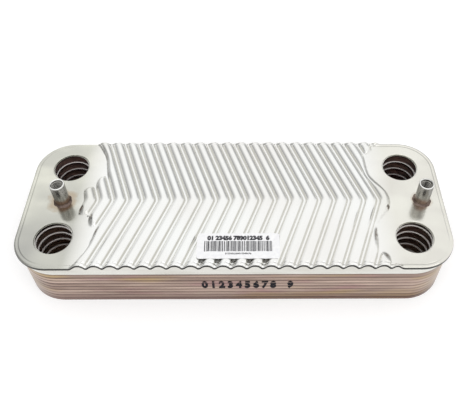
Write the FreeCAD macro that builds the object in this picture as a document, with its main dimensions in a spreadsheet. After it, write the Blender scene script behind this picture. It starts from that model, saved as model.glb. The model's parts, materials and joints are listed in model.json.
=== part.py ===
"""Brazed plate heat exchanger for domestic hot water.

Thin stainless sheets with a chevron pressing are stacked on one another, every second one turned
half a turn about the vertical, and brazed with copper. Crests of one sheet then cross under the
valleys of the next and leave a channel. Of the four ports of a channel sheet, the two on one long
side are lifted to the height of the crests, so that they seal against the sheet above: that side's
water passes through, and the other side's water enters the channel.

The frame: +X along the plates, +Y across them, +Z up out of the ports, with the origin under the
middle of the stack, at the height of the lowest skirt's edge. Sizes are millimetres and degrees.
"""
import FreeCAD, Part
import Sketcher
import math
import os

Vec = FreeCAD.Vector
UP = Vec(0, 0, 1)
HALF_TURN = 180.0

# Driving dimensions: name, value, what it is.
SIZES = (
    ("cover_length", 187.0, "cover plate along X"),
    ("cover_width", 70.6, "cover plate along Y"),
    ("cover_corner", 16.0, "corner radius of the cover plate"),
    ("cover_sheet", 0.6, "sheet thickness of the cover plate"),
    ("cover_rim_drop", 0.9, "how far the cover's rim is turned down"),
    ("cover_overhang", 0.6, "cover's edge past the lower edges of the skirts"),
    ("skirt_corner", 18.4, "corner radius of the skirted plates, carried out to the cover's edge"),
    ("channel_sheet", 0.3, "sheet thickness of the skirted plates"),
    ("plate_step", 2.3, "height from one plate to the next"),
    ("channel_plates", 8, "plates between the seal plate and the end plate"),
    ("skirt_depth", 4.85, "skirt's edge below the plate's valleys"),
    ("braze_film", 0.05, "copper between two nested skirts"),
    ("braze_bead", 0.3, "width of the copper bead under a skirt's edge"),
    ("braze_bead_drop", 0.5, "height of that bead"),
    ("ridge_spacing", 6.6, "ridge to ridge along X"),
    ("ridge_start", 1.35, "X of one ridge's bend on the centre line"),
    ("ridge_lean", 20.0, "angle between a ridge and the Y axis"),
    ("crest_flat", 1.0, "flat top of a ridge, across it, inside the sheet"),
    ("valley_flat", 2.0, "flat floor between ridges, across them"),
    ("field_end", 70.0, "largest X that a ridge reaches"),
    ("port_spacing_x", 154.0, "port centres along X"),
    ("port_spacing_y", 40.0, "port centres along Y"),
    ("port_bore", 16.2, "port hole in the cover, diameter"),
    ("collar_bore", 15.6, "port holes of the plates inside, diameter"),
    ("port_land", 16.3, "radius of the flat ground around a port"),
    ("collar_top", 11.0, "radius of a lifted collar's flat top, inside the sheet"),
    ("stud_left_x", -77.0, "left stud's axis"),
    ("stud_right_x", 83.5, "right stud's axis"),
    ("stud_outside", 6.5, "stud's outer diameter"),
    ("stud_rise", 11.5, "stud's height above the cover"),
    ("stud_thread_bore", 4.2, "minor diameter of the stud's M5 thread"),
    ("stud_bore_depth", 9.5, "depth of the threaded bore"),
    ("stud_edge_break", 0.4, "chamfer at the stud's outer edge and mouth"),
    ("stud_braze_width", 1.1, "copper fillet around the stud, across"),
    ("stud_braze_rise", 1.6, "copper fillet around the stud, height"),
    ("stud_braze_lip", 0.15, "thickness at the fillet's upper edge"),
    ("label_length", 34.5, "label along X"),
    ("label_width", 12.6, "label along Y"),
    ("label_film", 0.12, "label thickness"),
    ("label_x", 1.8, "label centre"),
    ("label_y", -25.7, "label centre"),
)

doc = FreeCAD.newDocument("plate_heat_exchanger")


# ---- the spreadsheet that holds the driving dimensions -------------------------------------------

sheet = doc.addObject("Spreadsheet::Sheet", "sizes")
for row, (alias, value, meaning) in enumerate(SIZES, start=1):
    sheet.set(f"A{row}", alias)
    sheet.set(f"B{row}", str(value))
    sheet.setAlias(f"B{row}", alias)
    sheet.set(f"C{row}", meaning)
doc.recompute()


def size(alias):
    """The value of a driving dimension."""
    return float(sheet.get(alias))


# ---- values that follow from the driving dimensions ----------------------------------------------

press_depth = size("plate_step") - size("channel_sheet")
lean = math.radians(size("ridge_lean"))
ridge_across = size("ridge_spacing") * math.cos(lean)
flank_run = (ridge_across - size("crest_flat") - size("valley_flat")) / 2
flank_slope = math.atan2(press_depth, flank_run)
bend_gain = math.tan(flank_slope / 2)
skirt_lean = math.asin((size("channel_sheet") + size("braze_film")) / size("plate_step"))
skirt_flare = math.tan(skirt_lean)
skirt_wall = size("channel_sheet") / math.cos(skirt_lean)
stack_plates = int(size("channel_plates")) + 2
cover_bottom = size("skirt_depth") + (stack_plates - 1) * size("plate_step") + size("channel_sheet")
overlap = size("channel_sheet") / 2

# The same heights and places as expressions, for the objects that are bound to the sheet.
SEAL_Z = "sizes.skirt_depth + (sizes.channel_plates + 1) * sizes.plate_step"
DECK_Z = f"{SEAL_Z} + sizes.channel_sheet + sizes.cover_sheet"
CREST_Z = f"{DECK_Z} + sizes.plate_step - sizes.channel_sheet"

PORTS = [(side, end) for side in (-1, 1) for end in (-1, 1)]


def port_axis(side, end):
    """Where a port's axis stands: side is -1 in front and 1 at the back, end is -1 left, 1 right."""
    return Vec(end * size("port_spacing_x") / 2, side * size("port_spacing_y") / 2, 0)


# ---- outlines ------------------------------------------------------------------------------------

def rounded_outline(inset, height, corner):
    """The cover's rectangle with its corners rounded, moved inwards by inset, as a wire at a height."""
    half_x = size("cover_length") / 2 - inset
    half_y = size("cover_width") / 2 - inset
    radius = size(corner) - inset
    flat_x = half_x - radius
    flat_y = half_y - radius
    edges = []
    for quarter in range(4):
        middle = math.pi / 4 + quarter * math.pi / 2
        side_x = math.copysign(flat_x, math.cos(middle))
        side_y = math.copysign(flat_y, math.sin(middle))
        centre = Vec(side_x, side_y, height)
        spokes = [
            Vec(math.cos(middle + turn), math.sin(middle + turn), 0) * radius
            for turn in (-math.pi / 4, 0, math.pi / 4)
        ]
        edges.append(Part.Arc(*(centre + spoke for spoke in spokes)).toShape())
    for quarter in range(4):
        start = edges[quarter].Vertexes[-1].Point
        end = edges[(quarter + 1) % 4].Vertexes[0].Point
        edges.append(Part.LineSegment(start, end).toShape())
    return Part.Wire(Part.sortEdges(edges)[0])


def block(low, high, inset_low, inset_high, corner):
    """A solid between two heights with the rounded outline, whose sides may lean."""
    if inset_low == inset_high:
        return Part.Face(rounded_outline(inset_low, low, corner)).extrude(UP * (high - low))
    wires = [rounded_outline(inset_low, low, corner), rounded_outline(inset_high, high, corner)]
    return Part.makeLoft(wires, True, True)


def skirt_block(low, high, wall=0.0):
    """The leaning block that bounds a skirted plate, seen from the plate's own valley level."""
    def inset(height):
        rise = height + size("skirt_depth")
        return size("cover_overhang") + rise * skirt_flare + wall
    return block(low, high, inset(low), inset(high), "skirt_corner")


def slab(low, high):
    """A plain slab that is larger than every plate."""
    margin = size("cover_corner")
    length = size("cover_length") + 2 * margin
    width = size("cover_width") + 2 * margin
    return Part.makeBox(length, width, high - low, Vec(-length / 2, -width / 2, low))


# ---- the chevron pressing ------------------------------------------------------------------------

def ridge_section(lift, middle):
    """A ridge's section on the centre line, lifted by sheet thickness off the press tool's face."""
    half_top = (size("crest_flat") / 2 + lift * bend_gain) / math.cos(lean)
    half_foot = half_top + flank_run / math.cos(lean)
    corners = [
        (-half_foot, lift - overlap), (-half_foot, lift), (-half_top, lift + press_depth),
        (half_top, lift + press_depth), (half_foot, lift), (half_foot, lift - overlap),
    ]
    points = [Vec(middle + x, 0, z) for x, z in corners]
    return Part.Face(Part.makePolygon(points + points[:1]))


def land_cone(lift, centre):
    """The flat ground around a port, as the cone that ends the ridges there."""
    spread = 1 / math.tan(flank_slope)
    low = lift - overlap
    high = lift + press_depth + overlap
    radius = size("port_land") - lift * bend_gain
    low_radius = radius - overlap * spread
    high_radius = radius + (high - lift) * spread
    return Part.makeCone(low_radius, high_radius, high - low, centre + UP * low)


def end_block(lift, end):
    """The flat strip past the last ridge at one end, with a slanted face towards the ridges."""
    spread = 1 / math.tan(flank_slope)
    low = lift - overlap
    high = lift + press_depth + overlap
    foot = size("field_end") + lift * bend_gain
    far = size("cover_length")
    low_foot = foot + overlap * spread
    high_foot = foot - (high - lift) * spread
    corners = [(low_foot, low), (high_foot, high), (far, high), (far, low)]
    reach = size("cover_width")
    points = [Vec(end * x, -reach, z) for x, z in corners]
    return Part.Face(Part.makePolygon(points + points[:1])).extrude(Vec(0, 2 * reach, 0))


def ridges(lift):
    """All chevron ridges, bent on the centre line with the bend towards +X."""
    reach = size("cover_width") / 2 + size("cover_corner")
    backset = -reach * math.tan(lean)
    spacing = size("ridge_spacing")
    first = math.ceil((-size("field_end") - size("ridge_start")) / spacing)
    last = math.floor((size("field_end") - backset - size("ridge_start")) / spacing)
    solids = []
    for number in range(first, last + 1):
        section = ridge_section(lift, size("ridge_start") + number * spacing)
        legs = [section.extrude(Vec(backset, side * reach, 0)) for side in (-1, 1)]
        solids.append(legs[0].fuse(legs[1]).removeSplitter())
    cuts = [land_cone(lift, port_axis(*port)) for port in PORTS]
    cuts += [end_block(lift, end) for end in (-1, 1)]
    return Part.Compound(solids).cut(cuts)


def collars(lift, side):
    """The two lifted port collars on one long side, as frustums."""
    low = lift - overlap
    top_radius = size("collar_top") + lift * bend_gain
    spread = 1 / math.tan(flank_slope)
    height = press_depth + overlap
    foot_radius = top_radius + height * spread
    return [
        Part.makeCone(foot_radius, top_radius, height, port_axis(side, end) + UP * low)
        for end in (-1, 1)
    ]


def only_solid(shape):
    """The one solid of a shape, with the seams of its flat faces removed."""
    clean = shape.removeSplitter()
    if len(clean.Solids) != 1:
        raise RuntimeError(f"expected one solid, found {len(clean.Solids)}")
    return clean.Solids[0]


def skirted_pressing(lifted_side):
    """A pressed plate with its skirt. lifted_side is the long side with lifted collars, or 0."""
    forms = []
    for lift, wall in ((size("channel_sheet"), 0.0), (0.0, skirt_wall)):
        pressed = [ridges(lift)]
        if lifted_side:
            pressed += collars(lift, lifted_side)
        relief = slab(-size("skirt_depth"), lift).fuse(pressed)
        top = lift + press_depth
        forms.append(skirt_block(-size("skirt_depth"), top, wall).common(relief))
    return only_solid(forms[0].cut(forms[1]))


def cover_pressing():
    """The cover: pressed like the plate it lies on, with a rim turned down along a wavy edge."""
    inside = size("channel_sheet")
    outside = inside + size("cover_sheet")
    drop = size("cover_rim_drop")
    floor = inside - drop - overlap
    form = block(floor, outside + press_depth, 0.0, 0.0, "cover_corner")
    form = form.common(slab(floor, outside).fuse(ridges(outside)))
    inner_ridges = ridges(inside)
    wall = size("cover_sheet")
    hollow = block(floor, inside + press_depth, wall, wall, "cover_corner")
    hollow = hollow.common(slab(floor, inside).fuse(inner_ridges))
    below_rim = slab(floor - drop, inside - drop).fuse(inner_ridges.translated(UP * -drop))
    return only_solid(form.cut(hollow).cut(below_rim))


# ---- document objects ----------------------------------------------------------------------------

subparts = []


def bind(target, **expressions):
    """Bind properties of an object to expressions; two underscores stand for a dot."""
    for name, expression in expressions.items():
        target.setExpression(name.replace("__", "."), expression)


def named(target, label):
    """Give a finished sub-part its label and note it for export."""
    target.Label = label
    subparts.append(target)
    return target


def port_drill(label, bore, reach_z):
    """Four cylinders on the port axes, from the floor up to a height, as one cutting tool."""
    drills = []
    for number, (side, end) in enumerate(PORTS, start=1):
        drill = doc.addObject("Part::Cylinder", f"{label}_{number}")
        bind(
            drill,
            Radius=f"sizes.{bore} / 2",
            Height=f"{reach_z} + sizes.plate_step",
            Placement__Base__x=f"{end} * sizes.port_spacing_x / 2",
            Placement__Base__y=f"{side} * sizes.port_spacing_y / 2",
        )
        drills.append(drill)
    tool = doc.addObject("Part::MultiFuse", label)
    tool.Shapes = drills
    return tool


def pressed_plate(label, pressing, height, turned, drill=None):
    """A plate of the stack: its pressing at its height, with the ports cut through where it has them."""
    blank = doc.addObject("Part::Feature", f"{label}_pressing")
    blank.Shape = pressing
    blank.Placement = FreeCAD.Placement(Vec(), FreeCAD.Rotation(UP, HALF_TURN if turned else 0.0))
    bind(blank, Placement__Base__z=height)
    if drill is None:
        return named(blank, label)
    plate = doc.addObject("Part::Cut", label)
    plate.Base = blank
    plate.Tool = drill
    plate.Refine = True
    return named(plate, label)


def plane_of(body, role):
    """One of a body's own origin planes or axes."""
    return next(item for item in body.Origin.OriginFeatures if item.Role == role)


def circle_sketch(body, name, diameter, lift_z):
    """A sketch with one circle about the body's axis, at a height above its base plane."""
    sketch = body.newObject("Sketcher::SketchObject", name)
    sketch.AttachmentSupport = [(plane_of(body, "XY_Plane"), "")]
    sketch.MapMode = "FlatFace"
    sketch.addGeometry(Part.Circle(Vec(), UP, 1.0))
    sketch.addConstraint(Sketcher.Constraint("Coincident", 0, 3, -1, 1))
    sketch.addConstraint(Sketcher.Constraint("Diameter", 0, 2.0))
    sketch.setExpression("Constraints[1]", diameter)
    sketch.setExpression("AttachmentOffset.Base.z", lift_z)
    return sketch


def stud(label, axis_x):
    """A tubular stud: a turned pin with a blind threaded bore, shown at the thread's minor size."""
    body = doc.addObject("PartDesign::Body", label)
    pad = body.newObject("PartDesign::Pad", f"{label}_pin")
    pad.Profile = circle_sketch(body, f"{label}_outline", "sizes.stud_outside", "0")
    pad.setExpression("Length", "sizes.stud_rise")
    pocket = body.newObject("PartDesign::Pocket", f"{label}_bore")
    pocket.Profile = circle_sketch(body, f"{label}_mouth", "sizes.stud_thread_bore", "sizes.stud_rise")
    pocket.setExpression("Length", "sizes.stud_bore_depth")
    doc.recompute()
    rim = [
        f"Edge{number}"
        for number, edge in enumerate(pocket.Shape.Edges, start=1)
        if edge.Closed and abs(edge.CenterOfMass.z - size("stud_rise")) < overlap
    ]
    chamfer = body.newObject("PartDesign::Chamfer", f"{label}_edges")
    chamfer.Base = (pocket, rim)
    chamfer.setExpression("Size", "sizes.stud_edge_break")
    body.Tip = chamfer
    bind(body, Placement__Base__x=axis_x, Placement__Base__z=DECK_Z)
    return named(body, label)


def stud_braze(label, axis_x):
    """The copper fillet around a stud's foot, a cone with the stud's own cylinder cut out."""
    cone = doc.addObject("Part::Cone", f"{label}_cone")
    core = doc.addObject("Part::Cylinder", f"{label}_core")
    bind(
        cone,
        Radius1="sizes.stud_outside / 2 + sizes.stud_braze_width",
        Radius2="sizes.stud_outside / 2 + sizes.stud_braze_lip",
        Height="sizes.stud_braze_rise",
    )
    bind(core, Radius="sizes.stud_outside / 2", Height="sizes.stud_rise")
    ring = doc.addObject("Part::Cut", label)
    ring.Base = cone
    ring.Tool = core
    bind(ring, Placement__Base__x=axis_x, Placement__Base__z=DECK_Z)
    return named(ring, label)


def braze_seam(label, edge_z):
    """The copper bead in the step between one skirt's lower edge and the skirt below it."""
    drop = size("braze_bead_drop")
    nested = size("cover_overhang") + size("plate_step") * skirt_flare
    foot = nested - drop * skirt_flare
    toe = size("braze_bead") / 4
    outer = block(-drop, 0.0, foot - toe, nested - size("braze_bead"), "skirt_corner")
    inner = block(-drop, 0.0, foot, nested, "skirt_corner")
    bead = doc.addObject("Part::Feature", label)
    bead.Shape = only_solid(outer.cut(inner))
    bind(bead, Placement__Base__z=edge_z)
    return named(bead, label)


def label_sheet():
    """The sticker, flat across the crests of the cover."""
    sticker = doc.addObject("Part::Box", "label")
    bind(
        sticker,
        Length="sizes.label_length",
        Width="sizes.label_width",
        Height="sizes.label_film",
        Placement__Base__x="sizes.label_x - sizes.label_length / 2",
        Placement__Base__y="sizes.label_y - sizes.label_width / 2",
        Placement__Base__z=CREST_Z,
    )
    return named(sticker, "label")


# ---- the assembly --------------------------------------------------------------------------------

cover_drill = port_drill("cover_ports", "port_bore", DECK_Z)
collar_drill = port_drill("collar_ports", "collar_bore", DECK_Z)

pressed_plate("cover_plate", cover_pressing(), SEAL_Z, False, cover_drill)
pressed_plate("seal_plate", skirted_pressing(0), SEAL_Z, False, collar_drill)

channel_pressing = skirted_pressing(-1)
for number in range(1, stack_plates - 1):
    step_z = f"sizes.skirt_depth + (sizes.channel_plates + 1 - {number}) * sizes.plate_step"
    pressed_plate(f"channel_plate_{number}", channel_pressing, step_z, number % 2 == 1, collar_drill)
end_turned = (stack_plates - 1) % 2 == 1
pressed_plate("end_plate", channel_pressing, "sizes.skirt_depth", end_turned)

for number in range(1, stack_plates):
    braze_seam(f"braze_seam_{number}", f"(sizes.channel_plates + 2 - {number}) * sizes.plate_step")

for place in ("left", "right"):
    stud(f"stud_{place}", f"sizes.stud_{place}_x")
    stud_braze(f"stud_braze_{place}", f"sizes.stud_{place}_x")

label_sheet()
doc.recompute()


# ---- checks and export ---------------------------------------------------------------------------

for item in doc.Objects:
    if "Invalid" in item.State or "Error" in item.State:
        raise RuntimeError(f"{item.Label} did not recompute: {item.State}")
for item in subparts:
    if item.Shape.isNull() or not item.Shape.isValid() or not item.Shape.Solids:
        raise RuntimeError(f"{item.Label} has no valid solid")

os.makedirs("parts", exist_ok=True)
for item in subparts:
    item.Shape.exportStep(f"parts/{item.Label}.step")
    print(f"{item.Label}: {len(item.Shape.Solids)} solid, {item.Shape.Volume:.1f} mm3")
deck = cover_bottom + size("cover_sheet")
print(f"{len(subparts)} sub-parts, top of the cover's flat ground at {deck:.2f} mm")
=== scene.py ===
# %% [markdown]
# # A brazed plate heat exchanger
# Ten thin pressed sheets of stainless steel are stacked and brazed together with copper, under a
# thicker pressed cover with four ports and two threaded studs. The imported model already holds every
# sheet at its real size. This file gives it the looks: a smooth cover in place of the angular one,
# studs with a real thread, copper fillets, a sticker, inked numbers, and a finish for each metal.
#
# The first cell loads the frame.

# %% Load the frame
import bpy
import bmesh
import json
import math
import numpy as np
from mathutils import Matrix, Vector


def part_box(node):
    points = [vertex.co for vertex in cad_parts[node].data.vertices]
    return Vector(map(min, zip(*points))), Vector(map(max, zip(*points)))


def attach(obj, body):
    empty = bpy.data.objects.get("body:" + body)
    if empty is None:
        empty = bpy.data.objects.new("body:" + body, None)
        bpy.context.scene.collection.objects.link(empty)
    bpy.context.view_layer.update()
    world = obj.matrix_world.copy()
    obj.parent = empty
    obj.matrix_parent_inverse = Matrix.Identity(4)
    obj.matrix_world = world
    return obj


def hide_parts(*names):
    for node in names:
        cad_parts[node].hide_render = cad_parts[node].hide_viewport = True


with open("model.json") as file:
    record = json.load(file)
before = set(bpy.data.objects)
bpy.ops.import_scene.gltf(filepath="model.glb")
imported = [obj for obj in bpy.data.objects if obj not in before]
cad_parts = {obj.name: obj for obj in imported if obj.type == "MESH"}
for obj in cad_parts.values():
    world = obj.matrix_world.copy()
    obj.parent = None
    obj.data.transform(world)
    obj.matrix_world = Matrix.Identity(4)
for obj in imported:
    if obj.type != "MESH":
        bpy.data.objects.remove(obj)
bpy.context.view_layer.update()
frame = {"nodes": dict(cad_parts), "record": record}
nodes = frame["nodes"]
bpy.ops.object.select_all(action="DESELECT")
print("nodes in the frame:", len(nodes))

# %% [markdown]
# Sizes are thought of in millimetres and places come from the frame. The cover's flat ground is
# called the deck: a stud's foot stands on it. The sticker lies on the crests of the ridges, so its
# underside gives their height. The ports and the studs are mounts of the record.

# %% Places that everything is measured from
MM = 0.001
cover_low, cover_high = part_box("cover_plate")
half_length = (cover_high[0] - cover_low[0]) / 2
half_width = (cover_high[1] - cover_low[1]) / 2
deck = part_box("stud_left")[0][2]
ridge_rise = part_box("label")[0][2] - deck
rim_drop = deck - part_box("cover_plate")[0][2]
mounts = {mount["name"]: mount for mount in frame["record"]["mounts"]}
port_spots = [tuple(mounts[name]["pos_m"][:2]) for name in mounts if name.startswith("port_")]
port_radius = mounts["port_front_left"]["dims"]["r_mm"] * MM
stud_spots = {side: tuple(mounts[f"stud_thread_{side}"]["pos_m"][:2]) for side in ("left", "right")}
print(f"deck {deck / MM:.2f} mm, ridges {ridge_rise / MM:.2f} mm, rim {rim_drop / MM:.2f} mm deep")

# %% [markdown]
# ## Camera, table and light
# The camera stands in front and looks down at the cover with a short telephoto. Its small shift
# keeps the block where it belongs in the frame without turning the camera.

# %% Camera
stand = Vector((7.9 * MM, -165.1 * MM, deck + 207.1 * MM))
aim = Vector((9.6 * MM, 14.5 * MM, deck))
bpy.ops.object.camera_add(location=stand)
camera = bpy.context.object
camera.name = "camera"
looking = (aim - stand).to_track_quat("-Z", "Y").to_matrix()
camera.rotation_euler = (looking @ Matrix.Rotation(math.radians(0.295), 3, "Z")).to_euler()
camera.data.lens = 45.27
camera.data.shift_x = -0.0457
camera.data.shift_y = -0.0522
camera.data.clip_start = 0.01
bpy.context.scene.camera = camera
bpy.context.scene.view_settings.view_transform = "Standard"
print(f"the camera is {(aim - stand).length / MM:.0f} mm from its aim")

# %% [markdown]
# Every finish below is a small tree of nodes. One helper adds a node, sets it up and wires its
# inputs, so that a tree reads from top to bottom. Colours are written as 0 to 255, as a paint card
# would give them, and turned into the linear values that a shader works with.

# %% Helpers for finishes
def node(tree, kind, inputs=None, **settings):
    """Add a node, and fill its inputs with values or with other nodes' outputs."""
    made = tree.nodes.new(f"ShaderNode{kind}")
    for key, value in settings.items():
        setattr(made, key, value)
    for key, value in (inputs or {}).items():
        if isinstance(value, bpy.types.NodeSocket):
            tree.links.new(value, made.inputs[key])
        else:
            made.inputs[key].default_value = value
    return made


def colour(red, green, blue):
    """A colour card's 0 to 255 as the shader's linear colour."""
    steps = [part / 255 for part in (red, green, blue)]
    return (*[s / 12.92 if s <= 0.04045 else ((s + 0.055) / 1.055) ** 2.4 for s in steps], 1.0)


def new_finish(name):
    """A material with its Principled shader, and its Object coordinates."""
    finish = bpy.data.materials.new(name)
    finish.use_nodes = True
    tree = finish.node_tree
    return finish, tree, tree.nodes["Principled BSDF"], node(tree, "TexCoord").outputs["Object"]


# %% [markdown]
# The table is white. It shows white to the camera and in the metal's reflections, and its plain
# diffuse part keeps the soft shadow that grounds the block.

# %% White table
bpy.ops.mesh.primitive_plane_add(size=6.0, location=(0, 0, 0))
table = bpy.context.object
table.name = "white_table"
finish, tree, shader, _ = new_finish("white_laminate")
shader.inputs["Base Color"].default_value = (0.8, 0.8, 0.8, 1)
shader.inputs["Roughness"].default_value = 0.9
shader.inputs["Specular IOR Level"].default_value = 0.0
shader.inputs["Emission Color"].default_value = (1, 1, 1, 1)
rays = node(tree, "LightPath").outputs
bright = node(tree, "Math", {0: rays["Is Camera Ray"], 1: rays["Is Glossy Ray"]}, operation="ADD")
table_glow = 0.34
glow = node(tree, "Math", {0: bright.outputs[0], 1: table_glow}, operation="MULTIPLY")
tree.links.new(glow.outputs[0], shader.inputs["Emission Strength"])
table.data.materials.append(finish)
print(f"the table is {table.dimensions.x:.0f} m wide")

# %% [markdown]
# The room is a light tent, white all round but for two soft grey cards, one on the left and one at
# the back on the right. Such cards give polished metal something to mirror: they draw the grey lines
# along the ridges. Behind each of the two lamps that follow, the tent is dark, so that a lamp's
# mirror image adds little more than the white it hides. The camera itself sees plain white.

# %% Light tent
tent = bpy.data.worlds.new("light_tent")
bpy.context.scene.world = tent
tent.use_nodes = True
tree = tent.node_tree
rays = node(tree, "LightPath").outputs
towards = node(tree, "TexCoord").outputs["Generated"]


def facing(direction, start, end, to_start, to_end):
    """A level that changes with how far a ray points in a direction."""
    far = node(tree, "VectorMath", {0: towards, 1: direction}, operation="DOT_PRODUCT").outputs["Value"]
    settings = {"Value": far, "From Min": start, "From Max": end, "To Min": to_start, "To Max": to_end}
    return node(tree, "MapRange", settings).outputs[0]


card_grey = 0.32
backing_grey = 0.15
room_level = 0.82
left_card = facing((-0.975, 0.1, 0.2), 0.6, 0.98, 1.02, card_grey)
back_card = facing((0.5, 0.86, 0.1), 0.8, 1.0, 1.0, card_grey)
behind_key = facing((0.43, -0.65, 0.63), 0.85, 0.9, 1.0, backing_grey)
behind_fill = facing((-0.56, -0.63, 0.54), 0.92, 0.96, 1.0, backing_grey)
wall = left_card
for card in (back_card, behind_key, behind_fill):
    wall = node(tree, "Math", {0: wall, 1: card}, operation="MULTIPLY").outputs[0]
reflected = {0: rays["Is Glossy Ray"], 1: rays["Is Transmission Ray"]}
mirrored = node(tree, "Math", reflected, operation="MAXIMUM")
level = node(tree, "Mix", {0: mirrored.outputs[0], 2: room_level, 3: wall}, data_type="FLOAT")
level = node(tree, "Mix", {0: rays["Is Camera Ray"], 2: level.outputs[0], 3: 1.0}, data_type="FLOAT")
tree.links.new(level.outputs[0], tree.nodes["Background"].inputs["Strength"])
tree.nodes["Background"].inputs["Color"].default_value = (1, 1, 1, 1)
print(f"the room shines at {room_level}, the cards mirror at {card_grey}")

# %% [markdown]
# Two soft lamps stand in front, where the flat lands don't mirror them. A sun or a spot would give
# the studs hard shadows. A large area lamp gives the soft-edged shadow of a studio.

# %% Soft lamps
def softbox(name, place, width, height, power):
    """A large soft lamp that looks at the block."""
    bpy.ops.object.light_add(type="AREA", location=place)
    lamp = bpy.context.object
    lamp.name = name
    lamp.rotation_euler = (Vector((0, 0, deck)) - Vector(place)).to_track_quat("-Z", "Y").to_euler()
    lamp.data.shape = "RECTANGLE"
    lamp.data.size = width
    lamp.data.size_y = height
    lamp.data.energy = power


softbox("key_softbox", (0.6, -0.9, 0.9), 1.4, 1.2, 6.0)
softbox("fill_softbox", (-0.8, -0.9, 0.8), 1.0, 0.8, 2.0)

# %% [markdown]
# ## The pressed cover
# The real cover is one sheet, 0.6 mm thick, struck between two tools. Its ridges form chevrons with
# rounded shoulders, and they stop at the flat lands around the ports. A sheet like that is made here
# as it is in the press: a flat grid is laid out, and each of its points is lifted to the height of
# the tool above it. The grid's lines run along the ridges, so that few points give clean flanks.

# %% Height of the press tool
lean = math.tan(math.radians(20.0))
squareness = math.cos(math.atan(lean))
ridge_spacing = 6.6 * MM
ridge_start = 1.35 * MM
arcs = ((2.9 * MM, 0.0, 42.0), (0.9 * MM, 42.0, 62.0))
crease = 0.4 * MM
land_radius = 15.9 * MM
field_end = 70.0 * MM


def off_centre(y):
    """Distance from the middle line, eased where a ridge bends."""
    ease = 1.0 * MM
    return np.sqrt(y * y + ease * ease) - ease


def ridge_profile():
    """Points of half a ridge, from its crest down to the crease: distances and heights."""
    spots = [(0.0, ridge_rise)]
    for radius, start, end in arcs:
        first = math.radians(start)
        for turn in np.radians(np.linspace(start, end, 13)[1:]):
            reach, height = spots[-1]
            reach += radius * (math.sin(turn) - math.sin(first))
            height -= radius * (math.cos(first) - math.cos(turn))
            spots.append((reach, height))
            first = turn
    reach, height = spots[-1]
    steepest = math.radians(arcs[-1][2])
    crease_top = crease * (1 - math.cos(steepest))
    reach += (height - crease_top) / math.tan(steepest)
    foot = reach + crease * math.sin(steepest)
    for turn in np.linspace(steepest, 0, 9):
        spots.append((foot - crease * math.sin(turn), crease * (1 - math.cos(turn))))
    return np.array(spots).T


profile_reach, profile_height = ridge_profile()
foot = profile_reach[-1]
print(f"a ridge is {2 * foot / MM:.2f} mm wide at its foot, every {ridge_spacing / MM:.1f} mm")


def tool_height(x, y):
    """How far the press tool lifts the sheet above the deck."""
    turn = (x + off_centre(y) * lean - ridge_start) / ridge_spacing
    off_crest = np.abs(turn - np.round(turn)) * ridge_spacing * squareness
    short = off_crest**2 + np.maximum(foot - field_end + np.abs(x), 0) ** 2
    for port_x, port_y in port_spots:
        short = short + np.maximum(foot + land_radius - np.hypot(x - port_x, y - port_y), 0) ** 2
    return np.interp(np.sqrt(short), profile_reach, profile_height)


# %% [markdown]
# The sheet's outline is a rectangle with rounded corners. Every later step asks how far a point
# lies inside it and which way is out, so one function answers both for any number of points.

# %% Outline of the sheet
corner = 16.0 * MM


def outline_reach(x, y):
    """Direction from the nearest corner centre or side, and the distance inside the cover's outline."""
    from_x = x - np.clip(x, corner - half_length, half_length - corner)
    from_y = y - np.clip(y, corner - half_width, half_width - corner)
    reach = np.hypot(from_x, from_y)
    safe = np.maximum(reach, 1e-9)
    return from_x / safe, from_y / safe, corner - reach


print(f"outline {2 * half_length / MM:.0f} by {2 * half_width / MM:.1f} mm")

# %% [markdown]
# The grid's columns are pushed into chevrons. Across each ridge they lie close together where the
# flank bends most, and far apart where it is flat. The grid stops short of the outline and of the
# ports, because the rim and the mouths are extruded from its border later.

# %% Columns of a ridge
grid_inset = 2.4 * MM
port_margin = 0.5 * MM
row_spacing = 0.85 * MM
span_x = half_length - grid_inset
span_y = half_width - grid_inset
slant = float(off_centre(span_y)) * lean
half_ridge = ridge_spacing * squareness / 2
right_lines = [reach * MM for reach in (0.0, 0.7, 1.35, 1.8, 2.05, 2.3, 2.52, 2.66, 2.84)]
lines = [-half_ridge] + [-reach for reach in reversed(right_lines[1:])] + right_lines
first_ridge = math.floor((-span_x - ridge_start) / ridge_spacing)
last_ridge = math.ceil((span_x + slant - ridge_start) / ridge_spacing)
columns = len(lines) * (last_ridge - first_ridge + 1) - 1
rows = 2 * round(span_y / row_spacing)
print("grid of", columns, "by", rows)

# %% Grid that follows the ridges
bpy.ops.mesh.primitive_grid_add(x_subdivisions=columns, y_subdivisions=rows, size=2)
cover = bpy.context.object
cover.name = "cover_skin"
mesh = cover.data
spots = np.empty(3 * len(mesh.vertices))
mesh.vertices.foreach_get("co", spots)
spots = spots.reshape(-1, 3)
y = spots[:, 1] * span_y
column = np.rint((spots[:, 0] + 1) / 2 * columns).astype(int)
ridge, line = np.divmod(column, len(lines))
along = ridge_start + (first_ridge + ridge) * ridge_spacing
x = along + np.array(lines)[line] / squareness - off_centre(y) * lean
corners_of = np.empty(4 * len(mesh.polygons), dtype=np.int64)
mesh.polygons.foreach_get("vertices", corners_of)
corners_of = corners_of.reshape(-1, 4)
print("faces of the grid:", len(corners_of))

# %% [markdown]
# Faces outside the outline and over the ports are deleted, and the ragged border that this leaves is
# pulled onto the true outline and the port circles, as a trimming tool would shear it. Points of the
# border that then lie almost on one another are merged.

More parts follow.
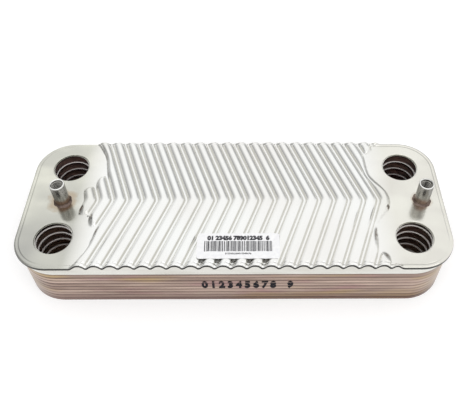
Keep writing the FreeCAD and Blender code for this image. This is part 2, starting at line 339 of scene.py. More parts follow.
# %% Faces to keep, and their border
middle_x, middle_y = x[corners_of].mean(1), y[corners_of].mean(1)
spare = outline_reach(middle_x, middle_y)[2] < grid_inset
for port_x, port_y in port_spots:
    spare |= np.hypot(middle_x - port_x, middle_y - port_y) < port_radius + port_margin
kept = corners_of[~spare]
sides = np.sort(np.concatenate([kept[:, [n, (n + 1) % 4]] for n in range(4)]), axis=1)
pairs, uses = np.unique(sides, axis=0, return_counts=True)
border = np.unique(pairs[uses == 1])
print("faces to keep:", len(kept), "border points:", len(border))

# %% Trim the grid
port_zone = port_radius + 3 * MM
merge_gap = 0.3 * MM
at_port = np.zeros(len(border), dtype=bool)
for port_x, port_y in port_spots:
    from_x, from_y = x[border] - port_x, y[border] - port_y
    away = np.hypot(from_x, from_y)
    near = away < port_zone
    pull = (port_radius + port_margin) / away[near]
    x[border[near]] = port_x + from_x[near] * pull
    y[border[near]] = port_y + from_y[near] * pull
    at_port |= near
rim = border[~at_port]
way_x, way_y, inside = outline_reach(x[rim], y[rim])
x[rim] += way_x * (inside - grid_inset)
y[rim] += way_y * (inside - grid_inset)
mesh.vertices.foreach_set("co", np.stack([x, y, deck + tool_height(x, y)], axis=1).ravel())
bpy.ops.object.mode_set(mode="EDIT")
bpy.ops.mesh.select_mode(type="FACE")
bpy.ops.object.mode_set(mode="OBJECT")
mesh.polygons.foreach_set("select", spare)
bpy.ops.object.mode_set(mode="EDIT")
bpy.ops.mesh.delete(type="FACE")
bpy.ops.mesh.select_mode(type="VERT")
bpy.ops.mesh.select_all(action="DESELECT")
bpy.ops.mesh.select_non_manifold()
bpy.ops.mesh.remove_doubles(threshold=merge_gap)
bpy.ops.object.mode_set(mode="OBJECT")
print("faces left:", len(mesh.polygons))

# %% [markdown]
# The rim is a rounded bead that turns down along the whole outline and follows the wave of the
# ridges, softened towards the edge. A ridge needs more sheet than flat ground, so the edge is drawn
# in a little at each crest. The rim is extruded from the border in small steps: outwards through a
# shallow groove, over the bead, then straight down.

# %% Extrude a border in steps
def at_port_edge(spot):
    """Whether a point lies on the border of a port."""
    return any(math.hypot(spot.x - px, spot.y - py) < port_radius + 1 * MM for px, py in port_spots)


def extrude_border(piece, near_port, steps, place):
    """Extrude a border once for each step. place gives a new point from the old one and the step."""
    bpy.context.view_layer.objects.active = piece
    bpy.ops.object.mode_set(mode="EDIT")
    bpy.ops.mesh.select_mode(type="EDGE")
    bpy.ops.mesh.select_all(action="DESELECT")
    shape = bmesh.from_edit_mesh(piece.data)
    for edge in shape.edges:
        edge.select = edge.is_boundary and at_port_edge(edge.verts[0].co) == near_port
    for step in steps:
        bpy.ops.mesh.extrude_region_move()
        shape = bmesh.from_edit_mesh(piece.data)
        for point in shape.verts:
            if point.select:
                point.co = place(point.co, step)
        bmesh.update_edit_mesh(piece.data)
    bpy.ops.object.mode_set(mode="OBJECT")


# %% Rim of the cover
draw_in = 0.3 * MM


def rim_lift(x, y):
    """Height of the sheet above the deck, where the ridges run out into a softer wave at the edge."""
    share = np.clip(1 - outline_reach(x, y)[2] / grid_inset, 0, 1)
    near = [tool_height(x + step * MM, y) for step in (-1.0, -0.5, 0.0, 0.5, 1.0)]
    return (1 - share) * near[2] + share * sum(near) / len(near)


def rim_place(spot, step):
    """A point of the rim at an inset from the outline and a drop below the sheet's own height."""
    inset, drop = step
    way_x, way_y, inside = outline_reach(spot.x, spot.y)
    inset += draw_in * tool_height(spot.x, spot.y) / ridge_rise * (1 - inset / grid_inset)
    x = spot.x + way_x * (inside - inset)
    y = spot.y + way_y * (inside - inset)
    return Vector((x, y, deck + rim_lift(x, y) - drop))


bead = 0.85 * MM
groove = ((2.05, 0.0), (1.9, 0.1), (1.7, 0.18), (1.5, 0.1), (1.3, 0.0), (1.05, 0.0))
rim_steps = [(inset * MM, drop * MM) for inset, drop in groove] + [(bead, 0.0)]
for angle in (22.5, 45.0, 67.5, 90.0):
    turn = math.radians(angle)
    rim_steps.append((bead * (1 - math.sin(turn)), bead * (1 - math.cos(turn))))
rim_steps += [(0.0, rim_drop - 0.3 * MM), (0.0, rim_drop)]
extrude_border(cover, False, rim_steps, rim_place)
print("points with the rim:", len(mesh.vertices))

# %% [markdown]
# Each port's mouth is sheared, with a slightly rolled edge. Its border is taken inwards and down.

# %% Port mouths
def mouth_place(spot, step):
    """A point of a port's mouth at a radius and a drop."""
    radius, drop = step
    port_x, port_y = min(port_spots, key=lambda port: math.hypot(spot.x - port[0], spot.y - port[1]))
    from_x, from_y = spot.x - port_x, spot.y - port_y
    away = math.hypot(from_x, from_y)
    return Vector((port_x + from_x * radius / away, port_y + from_y * radius / away, deck - drop))


mouth_edge = ((0.25, 0.01), (0.08, 0.07), (0.0, 0.22))
mouth_steps = [(port_radius + wider * MM, drop * MM) for wider, drop in mouth_edge]
extrude_border(cover, True, mouth_steps, mouth_place)
print("points with the mouths:", len(mesh.vertices))

# %% [markdown]
# Two marks that the finish has to find again are kept on the points of the sheet. The first covers the
# lower part of the turned-down rim: its cut edge, and above it a band that is painted dark as the shade
# in the gap beneath the rim. The second covers flanks so steep that they are painted greyer, as
# painted shade.

# %% Marks for painted shade on the rim and the steep flanks
skin = np.empty(3 * len(mesh.vertices))
mesh.vertices.foreach_get("co", skin)
skin_x, skin_y, skin_z = skin.reshape(-1, 3).T


def keep_mark(name, values):
    """Keep a value from 0 to 1 on every point of the cover."""
    mark = mesh.attributes.new(name, "FLOAT", "POINT")
    mark.data.foreach_set("value", np.clip(values, 0, 1).astype(np.float32))


# Painted shade: the lower part of the rim, from its cut edge up into the bead, is marked to be painted
# dark.
below = deck + rim_lift(skin_x, skin_y) - skin_z
keep_mark("sheared_edge_and_shade", (below - 0.25 * MM) / (0.3 * MM))
# Painted shade: the steepest flanks are marked to be painted greyer.
nudge = 0.05 * MM
run_x = tool_height(skin_x + nudge, skin_y) - tool_height(skin_x - nudge, skin_y)
run_y = tool_height(skin_x, skin_y + nudge) - tool_height(skin_x, skin_y - nudge)
slope = np.hypot(run_x, run_y) / (2 * nudge)
keep_mark("drawn", (slope - 1.1) / 0.5)
print("steepest flank:", round(math.degrees(math.atan(slope.max()))), "degrees")

# %% [markdown]
# Solidify gives the sheet its thickness downwards, so the upper face stays where the tool left it.
# The last helper finishes a piece: it dresses it, lets it ride on the only body and hides the nodes
# that it stands for.

# %% Finishing helpers
def apply_modifier(piece, kind, **settings):
    """Add a modifier to a piece, set it up and apply it."""
    bpy.context.view_layer.objects.active = piece
    modifier = piece.modifiers.new(kind.lower(), kind)
    for key, value in settings.items():
        setattr(modifier, key, value)
    bpy.ops.object.modifier_apply(modifier=modifier.name)


def smooth(piece, degrees):
    """Smooth shading, with edges kept where faces meet at more than an angle."""
    bpy.ops.object.select_all(action="DESELECT")
    piece.select_set(True)
    bpy.context.view_layer.objects.active = piece
    bpy.ops.object.shade_smooth_by_angle(angle=math.radians(degrees))
    bpy.ops.object.select_all(action="DESELECT")


def hand_in(piece, finish, slot, *replaced):
    """Dress a piece, let it ride, and hide the nodes it stands for."""
    piece.data.materials.clear()
    piece.data.materials.append(finish)
    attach(piece, "root")
    if replaced:
        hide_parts(*replaced)
    print(piece.name, "has", sum(len(face.vertices) - 2 for face in piece.data.polygons), "triangles")


# %% Thickness of the sheet
apply_modifier(cover, "SOLIDIFY", thickness=0.6 * MM, offset=-1.0)
for point in cover.data.vertices:
    point.co.x = min(max(point.co.x, -half_length), half_length)
    point.co.y = min(max(point.co.y, -half_width), half_width)
smooth(cover, 55)
print("points of the finished sheet:", len(cover.data.vertices))

# %% [markdown]
# Every finish is made of the same few patterns: a noise drawn out along an axis, a value carried
# from one range to another, a tint between two colours, a distance from an upright axis and a fine
# relief. Each gets a short helper, so that a finish reads like its own description.

# %% Patterns that the finishes share
def grain(tree, spots, scale, stretch=(1, 1, 1), detail=3.0, roughness=0.6):
    """A noise on a piece's own coordinates, in features per metre, drawn out along an axis."""
    drawn = node(tree, "Mapping", {"Vector": spots, "Scale": stretch})
    settings = {"Vector": drawn.outputs[0], "Scale": scale, "Detail": detail, "Roughness": roughness}
    return node(tree, "TexNoise", settings).outputs["Fac"]


def ramp(tree, value, low, high, to_low=0.0, to_high=1.0):
    """A value carried from one range to another, and held at its ends."""
    settings = {"Value": value, "From Min": low, "From Max": high, "To Min": to_low, "To Max": to_high}
    return node(tree, "MapRange", settings).outputs[0]


def sums(tree, operation, first, second):
    """Two values put together by an operation such as ADD or MULTIPLY."""
    return node(tree, "Math", {0: first, 1: second}, operation=operation).outputs[0]


def tint(tree, amount, first, second):
    """A colour between two colours."""
    return node(tree, "Mix", {0: amount, 6: first, 7: second}, data_type="RGBA").outputs[2]


def away_from(tree, spots, centre_x, centre_y):
    """Distance from an upright axis."""
    flat = node(tree, "VectorMath", {0: spots, 1: (1, 1, 0)}, operation="MULTIPLY").outputs[0]
    settings = {0: flat, 1: (centre_x, centre_y, 0)}
    return node(tree, "VectorMath", settings, operation="DISTANCE").outputs["Value"]


def dent(tree, shader, height, distance, strength=1.0):
    """Fine relief from a height pattern."""
    settings = {"Height": height, "Distance": distance, "Strength": strength}
    tree.links.new(node(tree, "Bump", settings).outputs[0], shader.inputs["Normal"])


# %% [markdown]
# Pressed stainless steel is bright with a soft sheen. A real plate shows faint tints from the braze
# furnace and a rolled grain too fine to see as lines. The flat lands are greyer than the ridges, most
# of all on the left and towards the front there, and the steepest flanks are painted greyer than the
# crests, as painted shade.

# %% Pressed steel: crests, lands and flanks
pressed_steel, tree, shader, spots = new_finish("pressed_stainless_sheet")
shader.inputs["Metallic"].default_value = 1.0
clouds = grain(tree, spots, 22.0, detail=2.0)
clouds_two = grain(tree, spots, 35.0, (1, 1.6, 1), detail=2.0)
steel = tint(tree, ramp(tree, clouds, 0.38, 0.62), colour(248, 249, 247), colour(244, 243, 240))
place = node(tree, "SeparateXYZ", {0: spots}).outputs
out = node(tree, "Math", {0: place["X"]}, operation="ABSOLUTE").outputs[0]
bare = tint(tree, ramp(tree, clouds_two, 0.4, 0.62), colour(236, 235, 226), colour(226, 224, 216))
left_bare = tint(tree, ramp(tree, clouds_two, 0.4, 0.6), colour(226, 226, 214), colour(204, 204, 195))
# The left land turns greyer towards the front, in cloudy patches.
to_front = ramp(tree, place["Y"], -18 * MM, -2 * MM, 1.0, 0.0)
left_front_grey = sums(tree, "MULTIPLY", to_front, ramp(tree, clouds, 0.36, 0.56, 0.4, 1.0))
left_bare = tint(tree, left_front_grey, left_bare, colour(184, 184, 178))
bare = tint(tree, ramp(tree, place["X"], -70 * MM, -60 * MM, 1.0, 0.0), bare, left_bare)
steel = tint(tree, ramp(tree, out, 60 * MM, 71 * MM), steel, bare)
# Painted shade: the steepest flanks get a greyer colour.
drawn = node(tree, "Attribute", attribute_name="drawn").outputs["Fac"]
steel = tint(tree, drawn, steel, colour(226, 225, 220))
print("nodes for the sheet:", len(tree.nodes))

# %% [markdown]
# On top of that come a brown stain near each stud, where copper has spread over the sheet and burnt,
# four small dark dots at the ends of the short ridges, and the lower part of the rim, dark for its cut
# edge and painted dark above it as the shade in the gap beneath the rim.

# %% Pressed steel: stains, dark dots and the rim's painted shade
stain_reach = {"left": (9.0 * MM, 0.8), "right": (6.0 * MM, 0.45)}
dark_dots = ((-67.1, -4.1), (-68.2, -7.3), (-62.0, -10.9), (-64.3, -8.6))
blots = grain(tree, spots, 260.0, detail=4.0)
for side, (stain_end, amount) in stain_reach.items():
    ring = ramp(tree, away_from(tree, spots, *stud_spots[side]), 3.0 * MM, stain_end, 1.0, 0.0)
    stain = ramp(tree, sums(tree, "ADD", ring, blots), 0.78, 1.15, 0.0, amount)
    steel = tint(tree, stain, steel, colour(184, 168, 146))
# Four small dark dots at the ends of the short ridges.
for dot_x, dot_y in dark_dots:
    dot = ramp(tree, away_from(tree, spots, dot_x * MM, dot_y * MM), 0.25 * MM, 0.55 * MM, 0.8, 0.0)
    steel = tint(tree, dot, steel, colour(96, 94, 88))
# Painted shade: the rim's lower part is dark, for its cut edge and for the gap beneath the rim.
edge = node(tree, "Attribute", attribute_name="sheared_edge_and_shade").outputs["Fac"]
steel = tint(tree, edge, steel, colour(50, 49, 48))
tree.links.new(steel, shader.inputs["Base Color"])
tree.links.new(ramp(tree, grain(tree, spots, 90.0), 0.3, 0.7, 0.14, 0.24), shader.inputs["Roughness"])
dent(tree, shader, grain(tree, spots, 900.0, (0.25, 1, 1)), 0.02 * MM, 0.3)
hand_in(cover, pressed_steel, "cover_steel", "cover_plate")

# %% [markdown]
# ## Studs and their copper fillets
# A stud is a turned steel tube with an M5 thread inside. Its body is a circle extruded and scaled
# ring by ring, as on a lathe. The thread is a small tooth swept down the bore by a Screw modifier.

# %% Turn a profile
def turned(name, centre, steps, points=64):
    """A turned shape: a circle extruded through rings, each given as a radius and a height."""
    bpy.ops.object.select_all(action="DESELECT")
    start = Vector((centre[0], centre[1], steps[0][1]))
    bpy.ops.mesh.primitive_circle_add(vertices=points, radius=steps[0][0], location=start)
    piece = bpy.context.object
    piece.name = name
    bpy.ops.object.mode_set(mode="EDIT")
    bpy.ops.mesh.select_mode(type="EDGE")
    bpy.ops.mesh.select_all(action="SELECT")
    for (radius, height), (next_radius, next_height) in zip(steps, steps[1:]):
        widen = next_radius / radius
        bpy.ops.mesh.extrude_region_move(TRANSFORM_OT_translate={"value": (0, 0, next_height - height)})
        bpy.ops.transform.resize(value=(widen, widen, 1), center_override=(centre[0], centre[1], 0))
    bpy.ops.object.mode_set(mode="OBJECT")
    return piece


def settle(piece):
    """Put a piece's place into its mesh, close its doubles and turn its faces outwards."""
    bpy.ops.object.select_all(action="DESELECT")
    piece.select_set(True)
    bpy.context.view_layer.objects.active = piece
    bpy.ops.object.transform_apply(location=True, rotation=True, scale=True)
    bpy.ops.object.mode_set(mode="EDIT")
    bpy.ops.mesh.select_all(action="SELECT")
    bpy.ops.mesh.remove_doubles(threshold=0.001 * MM)
    bpy.ops.mesh.normals_make_consistent(inside=False)
    bpy.ops.mesh.select_all(action="DESELECT")
    bpy.ops.object.mode_set(mode="OBJECT")
    piece.select_set(False)


# %% [markdown]
# A stud's own profile runs from its foot up the outside, over a chamfer, and down the bore to its
# floor. It starts and ends in a ring so small that the shape is closed but for a pinhole, hidden
# under the foot and at the bottom of the bore.

# %% Stud profile
stud_radius = 3.25 * MM
bore_radius = 2.5 * MM
stud_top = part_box("stud_left")[1][2]
bore_floor = stud_top - 9.5 * MM
stud_profile = [
    (0.05 * MM, deck), (stud_radius, deck), (stud_radius, stud_top - 0.4 * MM),
    (stud_radius - 0.12 * MM, stud_top - 0.12 * MM), (stud_radius - 0.4 * MM, stud_top),
    (bore_radius + 0.25 * MM, stud_top), (bore_radius, stud_top - 0.35 * MM),
    (bore_radius, bore_floor), (0.05 * MM, bore_floor - 0.01 * MM),
]
print(f"a stud stands {(stud_top - deck) / MM:.1f} mm above the deck")


# %% Thread tooth
def thread_tooth(name, centre):
    """An M5 thread: a tooth swept round the bore, with a pitch of 0.8 mm."""
    pitch = 0.8 * MM
    bpy.ops.object.select_all(action="DESELECT")
    bpy.ops.mesh.primitive_plane_add(size=1.0, location=(0, 0, 0), rotation=(math.radians(90), 0, 0))
    piece = bpy.context.object
    piece.name = name
    corners = ((2.1, 0.05), (2.1, 0.15), (2.52, 0.38), (2.52, -0.18))
    for point, (radius, height) in zip((piece.data.vertices[n] for n in (0, 2, 3, 1)), corners):
        point.co = (radius * MM, height * MM, 0)
    bpy.ops.object.transform_apply(location=True, rotation=True, scale=True)
    bpy.ops.object.mode_set(mode="EDIT")
    bpy.ops.mesh.select_all(action="SELECT")
    bpy.ops.mesh.delete(type="ONLY_FACE")
    bpy.ops.object.mode_set(mode="OBJECT")
    turns = 10
    sweep = {"axis": "Z", "screw_offset": pitch, "iterations": turns, "steps": 32, "render_steps": 32}
    apply_modifier(piece, "SCREW", **sweep)
    piece.location = (centre[0], centre[1], stud_top - 0.75 * MM - turns * pitch)
    return piece


# %% Stud bodies
studs = {}
for side, centre in stud_spots.items():
    stud = turned(f"stud_{side}_turned", centre, stud_profile)
    tooth = thread_tooth(f"thread_{side}", centre)
    bpy.ops.object.select_all(action="DESELECT")
    settle(stud)
    settle(tooth)
    tooth.select_set(True)
    stud.select_set(True)
    bpy.context.view_layer.objects.active = stud
    bpy.ops.object.join()
    smooth(stud, 35)
    studs[side] = stud
    print(stud.name, "has", len(stud.data.vertices), "points")

# %% [markdown]
# Turned steel is darker than the sheet. Fine rings from the lathe tool run round it, a little copper
# has crept up from the foot, and the top and its chamfers are nearly white.

# %% Turned steel
turned_steel, tree, shader, spots = new_finish("turned_steel")
shader.inputs["Metallic"].default_value = 1.0
rings = grain(tree, spots, 2600.0, (0.02, 0.02, 1), detail=2.0)
streaks = grain(tree, spots, 500.0, (1, 1, 0.08), detail=2.0)
steel = tint(tree, ramp(tree, streaks, 0.35, 0.65), colour(172, 170, 165), colour(122, 120, 116))
height = node(tree, "SeparateXYZ", {0: spots}).outputs["Z"]
from_foot = ramp(tree, height, deck + 1.5 * MM, deck + 6.0 * MM, 1.0, 0.0)
creep = sums(tree, "ADD", from_foot, grain(tree, spots, 300.0))
steel = tint(tree, ramp(tree, creep, 0.8, 1.3, 0.0, 0.85), steel, colour(118, 95, 83))
at_top = ramp(tree, height, stud_top - 0.3 * MM, stud_top - 0.1 * MM)
steel = tint(tree, at_top, steel, colour(246, 246, 243))
tree.links.new(steel, shader.inputs["Base Color"])
tree.links.new(ramp(tree, rings, 0.3, 0.7, 0.2, 0.32), shader.inputs["Roughness"])
dent(tree, shader, rings, 0.02 * MM, 0.4)
for side, stud in studs.items():
    hand_in(stud, turned_steel, "stud_steel", f"stud_{side}")

# %% [markdown]
# The fillet is copper that was liquid in the furnace and drew itself into the corner, so it is a
# hollow curve with an uneven edge. It is turned like the stud, and then its points are pushed in and
# out a little around the ring.

# %% Copper fillets
fillet_profile = [(stud_radius + 1.1 * MM, deck), (stud_radius + 1.05 * MM, deck + 0.06 * MM)]
for degrees in range(15, 90, 15):
    turn = math.radians(degrees)
    out = stud_radius + 1.02 * MM * (1 - math.sin(turn)) + 0.03 * MM
    fillet_profile.append((out, deck + 0.08 * MM + 1.5 * MM * (1 - math.cos(turn))))
fillet_profile += [
    (stud_radius + 0.01 * MM, deck + 1.58 * MM), (stud_radius - 0.05 * MM, deck + 1.5 * MM),
    (stud_radius - 0.05 * MM, deck),
]
fillets = {}
for side, centre in stud_spots.items():
    fillet = turned(f"stud_fillet_{side}", centre, fillet_profile)
    settle(fillet)
    for point in fillet.data.vertices:
        out = Vector((point.co.x - centre[0], point.co.y - centre[1], 0))
        around = math.atan2(out.y, out.x)
        spread = 0.5 + 0.5 * math.sin(3 * around + 1.3) * math.sin(5 * around + centre[0] * 900)
        reach = max(out.length - stud_radius, 0.0)
        point.co -= out.normalized() * reach * 0.45 * spread
        point.co.z = deck + (point.co.z - deck) * (1 - 0.35 * spread)
    smooth(fillet, 50)
    fillets[side] = fillet
    print(fillet.name, "has", len(fillet.data.vertices), "points")

# %% [markdown]
# Copper that has been through the furnace is not orange: it is a brown grey, in patches, with a
# grainy skin. The seams between the skirts wear the same finish.

# %% Braze copper
braze_copper, tree, shader, spots = new_finish("furnace_copper")
shader.inputs["Metallic"].default_value = 1.0
patches = grain(tree, spots, 320.0, detail=4.0)
copper = tint(tree, ramp(tree, patches, 0.36, 0.64), colour(136, 119, 111), colour(98, 84, 78))
tree.links.new(copper, shader.inputs["Base Color"])
tree.links.new(ramp(tree, patches, 0.35, 0.65, 0.28, 0.5), shader.inputs["Roughness"])
dent(tree, shader, grain(tree, spots, 1400.0), 0.06 * MM, 0.5)
for side, fillet in fillets.items():
    hand_in(fillet, braze_copper, "braze_copper", f"stud_braze_{side}")

# %% [markdown]
# ## Sticker
# The sticker is thin paper that touches only the crests. Between them it hangs a hair lower. Its
# print is nothing but a row of digits, a field of plain bars and a small line of digits.

# %% Sticker sheet
label_low, label_high = (Vector(spot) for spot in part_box("label"))
label_middle = (label_low + label_high) / 2
label_size = label_high - label_low


def paper_height(x, y):
    """Height of the sticker's upper face: on the crests, and a little lower between them."""
    gap = 1 - np.clip(tool_height(np.float64(x), np.float64(y)) / ridge_rise, 0, 1)
    return float(label_high.z - 0.02 * MM - 0.16 * MM * gap ** 2)


bpy.ops.object.select_all(action="DESELECT")
bpy.ops.mesh.primitive_grid_add(x_subdivisions=96, y_subdivisions=24, size=1.0, location=label_middle)
sticker = bpy.context.object
sticker.name = "sticker_paper"
sticker.scale = (label_size.x, label_size.y, 1)
bpy.ops.object.transform_apply(location=True, rotation=True, scale=True)
corner_cut = 1.2 * MM
for point in sticker.data.vertices:
    side_x = math.copysign(label_size.x / 2 - corner_cut, point.co.x - label_middle.x) + label_middle.x
    side_y = math.copysign(label_size.y / 2 - corner_cut, point.co.y - label_middle.y) + label_middle.y
    out = Vector((point.co.x - side_x, point.co.y - side_y))
    past = (out.x * (side_x - label_middle.x) > 0) and (out.y * (side_y - label_middle.y) > 0)
    if past and out.length > corner_cut:
        out = out.normalized() * corner_cut
        point.co.x, point.co.y = side_x + out.x, side_y + out.y
    point.co.z = paper_height(point.co.x, point.co.y)
apply_modifier(sticker, "SOLIDIFY", thickness=0.08 * MM, offset=-1.0)
smooth(sticker, 60)
print("sticker of", round(label_size.x / MM, 1), "by", round(label_size.y / MM, 1), "mm")

# %% [markdown]
# The paper is coated: nearly white, faintly fibrous, and half matt.

# %% Coated paper
paper, tree, shader, spots = new_finish("coated_paper")
fibres = grain(tree, spots, 700.0, detail=4.0)
sheet = tint(tree, ramp(tree, fibres, 0.4, 0.6), colour(250, 250, 250), colour(242, 242, 244))
tree.links.new(sheet, shader.inputs["Base Color"])
tree.links.new(ramp(tree, fibres, 0.3, 0.7, 0.45, 0.6), shader.inputs["Roughness"])
dent(tree, shader, fibres, 0.01 * MM, 0.3)
hand_in(sticker, paper, "label_film", "label")

# %% [markdown]
# The print is real geometry, a hundredth of a millimetre above the paper, so its edges stay crisp at
# any distance. Text is made a mesh before it is moved into place, and cut into strips, so that it
# can bend with what it lies on.

# %% Helpers for print
def digits(name, text, height, tracking, boldness, narrow=1.0):
    """A line of plain digits as a flat mesh, centred on the origin."""
    bpy.ops.object.select_all(action="DESELECT")
    bpy.ops.object.text_add(location=(0, 0, 0))
    line = bpy.context.object
    line.name = name
    line.data.body = text
    line.data.size = height * 1.38
    line.data.space_character = tracking
    line.data.align_x = "CENTER"
    line.data.offset = boldness * height
    line.data.resolution_u = 3
    bpy.ops.object.convert(target="MESH")
    line = bpy.context.object
    line.scale.x = narrow
    bpy.ops.object.transform_apply(location=False, rotation=False, scale=True)
    bpy.ops.object.mode_set(mode="EDIT")
    bpy.ops.mesh.select_all(action="SELECT")
    bpy.ops.mesh.remove_doubles(threshold=0.002 * MM)
    bpy.ops.object.mode_set(mode="OBJECT")
    return line


def cut_across(piece, axis, step):
    """Cut a mesh into strips along an axis, so that it can follow a curved surface."""
    places = [point.co[axis] for point in piece.data.vertices]
    normal = [0, 0, 0]
    normal[axis] = 1
    for number in range(math.ceil(min(places) / step), math.floor(max(places) / step) + 1):
        spot = [0, 0, 0]
        spot[axis] = number * step
        bpy.ops.object.mode_set(mode="EDIT")
        bpy.ops.mesh.select_all(action="SELECT")
        bpy.ops.mesh.bisect(plane_co=spot, plane_no=normal)
        bpy.ops.object.mode_set(mode="OBJECT")


def lay_on_paper(piece):
    """Let a flat print follow the paper."""
    for point in piece.data.vertices:
        point.co.z = paper_height(point.co.x, point.co.y) + 0.012 * MM


# %% Black print
ink, tree, shader, spots = new_finish("black_print")
spread = grain(tree, spots, 2500.0, detail=3.0)
black = tint(tree, ramp(tree, spread, 0.3, 0.7), colour(22, 22, 30), colour(58, 56, 62))
tree.links.new(black, shader.inputs["Base Color"])
shader.inputs["Roughness"].default_value = 0.6

# %% Rows of digits
prints = []
for name, text, height, tracking, boldness, up in (
    ("sticker_digits", "01 23456 789012345  6", 2.0 * MM, 0.98, 0.1, 3.95 * MM),
    ("sticker_small_digits", "0123456789012345678", 0.75 * MM, 1.1, 0.06, -3.85 * MM),
):
    line = digits(name, text, height, tracking, boldness)
    line.location = (label_middle.x, label_middle.y + up - height / 2, 0)
    bpy.ops.object.transform_apply(location=True, rotation=True, scale=True)
    cut_across(line, 0, 0.6 * MM)
    lay_on_paper(line)
    prints.append(line)
print("rows of digits:", len(prints))

# %% [markdown]
# The bars stand for nothing. Each is a narrow grid with a few rows, so that it follows the paper.
# Their widths and gaps step through one short list at two different strides, which looks random and
# never is.

# %% Field of bars
bar_module = 0.19 * MM
gap_module = 0.14 * MM
bar_low = label_middle.y - 2.75 * MM
bar_high = label_middle.y + 2.35 * MM
bar_x = label_middle.x - 14.2 * MM
modules = (2, 1, 1, 3, 1, 2, 1, 1, 2, 2, 1, 1, 3, 1, 1, 2)
bars = []
position = 0
while bar_x < label_middle.x + 14.0 * MM:
    width = modules[position % len(modules)] * bar_module
    space = modules[(position * 7 + 3) % len(modules)] * gap_module
    bpy.ops.object.select_all(action="DESELECT")
    bpy.ops.mesh.primitive_grid_add(x_subdivisions=1, y_subdivisions=7, size=1.0)
    bar = bpy.context.object
    bar.scale = (width, bar_high - bar_low, 1)
    bar.location = (bar_x + width / 2, (bar_low + bar_high) / 2, 0)
    bpy.ops.object.transform_apply(location=True, rotation=True, scale=True)
    bars.append(bar)
    bar_x += width + space
    position += 1
for bar in bars:
    bar.select_set(True)
bpy.context.view_layer.objects.active = bars[0]
bpy.ops.object.join()
bars[0].name = "sticker_bars"
lay_on_paper(bars[0])
prints.append(bars[0])
for printed in prints:
    hand_in(printed, ink, "label_film")
print("bars:", position)

# %% [markdown]
# ## Numbers on the stack
# A row of digits is inked across the edges of the plates, in front. A stamp bridges the hollows, so
# the ink follows only a part of each skirt's lean, from one skirt's edge to the next.

# %% Inked digits
plate_step = 2.3 * MM
skirt_flare = 0.154
skirt_front = half_width - 0.6 * MM
ink_follows = 0.35
ink_gap = 0.03 * MM


def lay_on_skirts(piece):
    """Let a flat print follow the leaning skirts, just in front of them."""
    for point in piece.data.vertices:
        lean_in = (point.co.z % plate_step) * skirt_flare
        point.co.y = ink_follows * lean_in - skirt_front - ink_gap


marks = []
stack_rows = (("stack_digits", "012345678", 1.9 * MM), ("stack_digit_apart", "9", 23.8 * MM))
for name, text, middle_x in stack_rows:
    line = digits(name, text, 4.9 * MM, 1.5, 0.08, 0.72)
    line.location = (middle_x, 0, 9.9 * MM)
    line.rotation_euler = (math.radians(90), 0, 0)
    bpy.ops.object.transform_apply(location=True, rotation=True, scale=True)
    cut_across(line, 2, 0.23 * MM)
    lay_on_skirts(line)
    marks.append(line)

# %% Marking ink
marking_ink, tree, shader, spots = new_finish("marking_ink")
worn = grain(tree, spots, 1300.0, detail=4.0)
faded = tint(tree, ramp(tree, worn, 0.45, 0.75), colour(16, 15, 22), colour(52, 47, 52))
tree.links.new(faded, shader.inputs["Base Color"])
shader.inputs["Roughness"].default_value = 0.7
shader.inputs["Specular IOR Level"].default_value = 0.2
for line in marks:
    hand_in(line, marking_ink, "label_film")

# %% [markdown]
# ## Finishes of the stack
# The plates keep the shapes that the frame gives them, and only get a finish. The top one shows a
# bright satin skirt, rolled along its length.

# %% Satin skirt of the seal plate
satin_steel, tree, shader, spots = new_finish("satin_skirt")
shader.inputs["Metallic"].default_value = 1.0
streaks = grain(tree, spots, 120.0, (0.2, 0.2, 2.0))
satin = tint(tree, ramp(tree, streaks, 0.35, 0.65), colour(227, 227, 222), colour(210, 208, 201))
tree.links.new(satin, shader.inputs["Base Color"])
tree.links.new(ramp(tree, streaks, 0.3, 0.7, 0.26, 0.38), shader.inputs["Roughness"])
dent(tree, shader, grain(tree, spots, 500.0, (0.3, 0.3, 1)), 0.03 * MM, 0.4)


def dress(name_start, finish):
    """Give a finish to every CAD node whose name starts in a certain way."""
    dressed = [name for name in nodes if name.startswith(name_start)]
    for name in dressed:
        nodes[name].data.materials.clear()
        nodes[name].data.materials.append(finish)
    print(finish.name, "on", dressed)


dress("seal_plate", satin_steel)

# %% [markdown]
# The other plates are washed with copper from the furnace. The wash runs along them in streaks of
# brown, pink and straw, and is darker near the table. Round the ends of the stack it is paler, a
# painted reflection of the white surroundings.

# %% Copper wash: streaks
washed_steel, tree, shader, spots = new_finish("copper_washed_sheet")
height = node(tree, "SeparateXYZ", {0: spots}).outputs["Z"]
long_streaks = grain(tree, spots, 45.0, (0.35, 0.35, 7.0), detail=4.0)
wash = tint(tree, ramp(tree, long_streaks, 0.36, 0.64), colour(202, 180, 167), colour(150, 130, 120))
blush = grain(tree, spots, 60.0, (0.6, 0.6, 2.5), detail=3.0)
wash = tint(tree, ramp(tree, blush, 0.52, 0.68, 0.0, 0.7), wash, colour(172, 138, 138))
straw = grain(tree, spots, 38.0, (0.5, 0.5, 3.0), detail=2.0)
wash = tint(tree, ramp(tree, straw, 0.5, 0.66, 0.0, 0.7), wash, colour(182, 158, 116))
wash = tint(tree, ramp(tree, height, 0.0, 7.0 * MM, 0.8, 0.0), wash, colour(108, 86, 84))
# Painted reflection: the ends of the stack are paler and greyer.
sides = node(tree, "VectorMath", {0: spots}, operation="ABSOLUTE").outputs[0]
ends = node(tree, "SeparateXYZ", {0: sides}).outputs["X"]
wash = tint(tree, ramp(tree, ends, 78 * MM, 91 * MM, 0.0, 0.65), wash, colour(192, 184, 176))
print("nodes for the streaks:", len(tree.nodes))
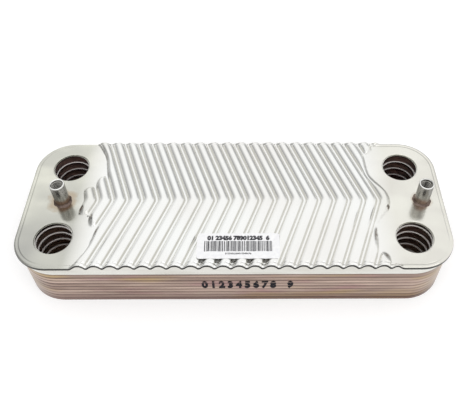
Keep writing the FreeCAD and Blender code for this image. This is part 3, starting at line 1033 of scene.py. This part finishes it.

# %% [markdown]
# Where one skirt tucks under the next, the colour is darker: partly copper that lies thick in the
# joint and has gone dark, partly painted shade in the tuck. Inside a port the collars are painted with
# light and shade, light where they face up and dark where they face down, most of all in the back
# ports, and their upturned rims get a painted highlight: the bright rings that a port shows. The four
# ports lie mirror-wise, so one distance, taken from unsigned places, finds them all.

# %% Copper wash: painted shade in the tucks, painted light and shade in the ports
# Darker just below each skirt's lower edge: partly dark copper in the joint, partly painted shade in
# the tuck.
tuck = node(tree, "Math", {0: sums(tree, "DIVIDE", height, plate_step)}, operation="FRACT").outputs[0]
uneven = grain(tree, spots, 30.0, (0.6, 0.6, 8.0), detail=2.0)
axis_gap = away_from(tree, sides, abs(port_spots[0][0]), abs(port_spots[0][1]))
shade = sums(tree, "MULTIPLY", ramp(tree, tuck, 0.42, 0.68), ramp(tree, uneven, 0.3, 0.7, 0.35, 1.0))
shade = sums(tree, "MULTIPLY", shade, ramp(tree, axis_gap, 11.0 * MM, 13.0 * MM))
wash = tint(tree, shade, wash, colour(78, 58, 54))
# Painted light and shade inside the ports: collars lighter where they face up, darker where they face
# down, most of all in the back ports.
at_back = ramp(tree, node(tree, "SeparateXYZ", {0: spots}).outputs["Y"], 0.0, 10 * MM, 0.15, 1.0)
in_port = sums(tree, "MULTIPLY", ramp(tree, axis_gap, 11.0 * MM, 13.0 * MM, 1.0, 0.0), at_back)
upward = node(tree, "SeparateXYZ", {0: node(tree, "NewGeometry").outputs["Normal"]}).outputs["Z"]
lit = tint(tree, ramp(tree, upward, 0.3, 0.9), colour(86, 66, 68), colour(222, 204, 200))
wash = tint(tree, in_port, wash, lit)
# Painted highlight: the upturned rims of the collars are nearly white and less metallic.
at_collar = ramp(tree, axis_gap, 8.3 * MM, 8.6 * MM, 1.0, 0.0)
painted_rim_highlight = sums(tree, "MULTIPLY", at_collar, ramp(tree, upward, 0.3, 0.9))
wash = tint(tree, painted_rim_highlight, wash, colour(255, 250, 246))

# %% Copper wash on the plates
tree.links.new(wash, shader.inputs["Base Color"])
tree.links.new(ramp(tree, painted_rim_highlight, 0.0, 1.0, 1.0, 0.1), shader.inputs["Metallic"])
tree.links.new(ramp(tree, blush, 0.3, 0.7, 0.28, 0.45), shader.inputs["Roughness"])
dent(tree, shader, grain(tree, spots, 300.0, (0.25, 0.25, 2.5)), 0.1 * MM, 0.7)
dress("channel_plate_", washed_steel)
dress("end_plate", washed_steel)

# %% Copper seams
dress("braze_seam_", braze_copper)

# %% [markdown]
# ## Finish
# Every CAD node now either carries a finish or is stood for by a piece.

# %% Clear the selection
bpy.ops.object.select_all(action="DESELECT")
